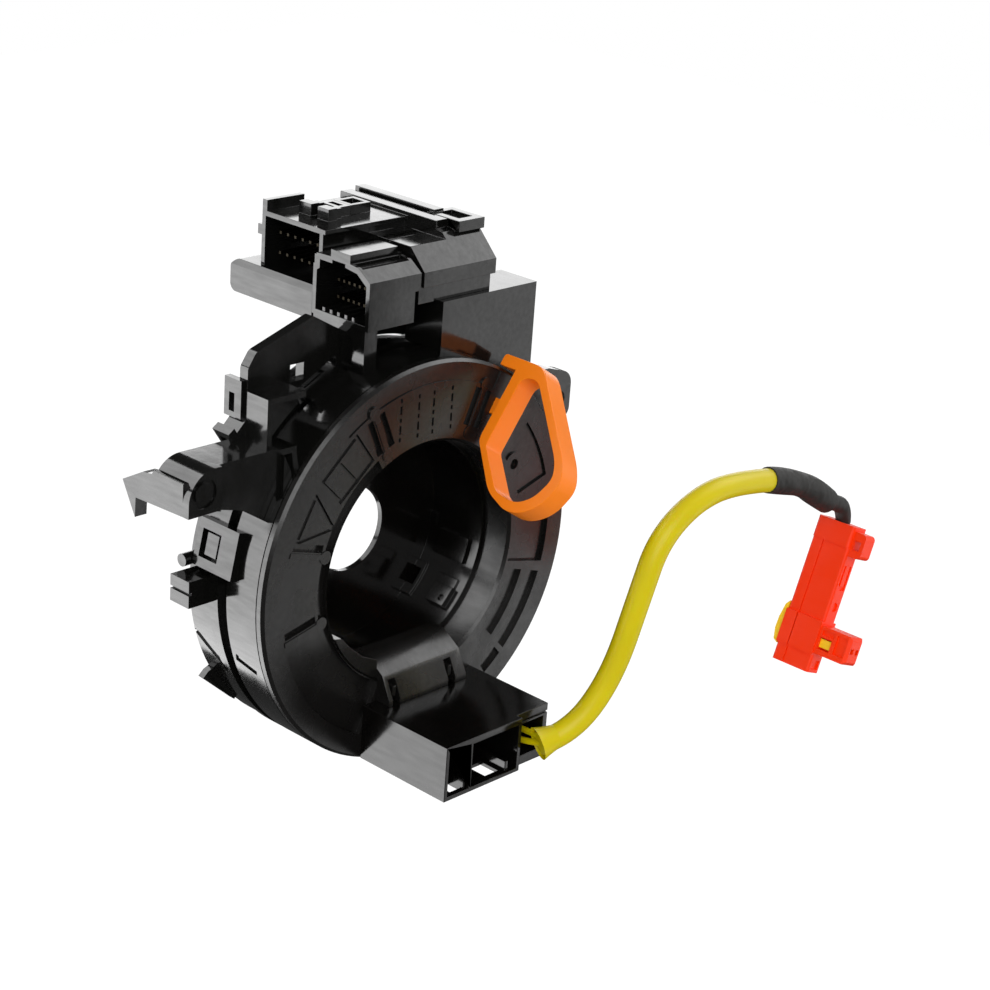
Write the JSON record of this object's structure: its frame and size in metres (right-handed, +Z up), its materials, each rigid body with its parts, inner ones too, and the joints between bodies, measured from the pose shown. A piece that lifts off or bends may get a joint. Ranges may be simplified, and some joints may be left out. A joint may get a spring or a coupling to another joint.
{
  "type": "steering clock spring",
  "caption": "Clock spring for a steering column: turning rotor ring in a fixed housing with connector tower, lock loop, lead block and a free cable with airbag plug.",
  "frame": {"origin": "On the steering axis, in the plane of the housing's rear seat, where the centring spigot starts.", "axes": "+Y runs along the steering axis towards the driver's feet, so the rotor face looks along -Y; +Z is up, towards the connector tower; +X is to the right seen from the steering wheel."},
  "size_m": [0.1762, 0.1134, 0.1297],
  "materials": {
    "rotor_plastic": "moulded, satin gloss black",
    "case_plastic": "moulded, gloss black",
    "ribbon_film": "satin film",
    "slide_film": "satin film",
    "contact_metal": "plated, satin",
    "lock_plastic": "moulded, satin orange",
    "sleeve_plastic": "soft tube, satin greenish yellow",
    "tape_cloth": "matt dark grey tape",
    "wire_insulation": "satin",
    "plug_plastic": "moulded, red-orange",
    "retainer_plastic": "moulded, yellow"
  },
  "bodies": {
    "stator": {"stator_front_case": "case_plastic", "stator_rear_case": "case_plastic", "flat_cable": "ribbon_film", "slide_sheet_front": "slide_film", "slide_sheet_rear": "slide_film", "tower_cover": "case_plastic", "small_connector_housing": "case_plastic", "large_connector_housing": "case_plastic", "small_connector_pins": "contact_metal", "large_connector_pins": "contact_metal", "lead_carrier": "case_plastic"},
    "rotor": {"rotor_disc": "rotor_plastic", "rotor_sleeve": "rotor_plastic", "lead_block_housing": "rotor_plastic", "lead_block_pins": "contact_metal", "lead_hood": "rotor_plastic", "cable_sleeve": "sleeve_plastic", "cable_tape": "tape_cloth", "cable_lead": "tape_cloth", "cable_wires": "wire_insulation", "squib_housing": "plug_plastic", "squib_cover": "plug_plastic", "squib_terminals": "contact_metal"},
    "lock": {"lock_tab": "lock_plastic"},
    "retainer": {"squib_retainer": "retainer_plastic"}
  },
  "joints": [
    {"name": "rotor_turn", "type": "hinge", "parent": "stator", "child": "rotor", "pos_m": [0, 0, 0], "axis": [0, 1, 0], "range_deg": [-900, 900]},
    {"name": "lock_pull", "type": "slide", "parent": "rotor", "child": "lock", "axis": [0, -1, 0], "range_m": [0, 0.03]},
    {"name": "plug_retainer_pull", "type": "slide", "parent": "rotor", "child": "retainer", "axis": [0, 1, 0], "range_m": [0, 0.002]}
  ]
}
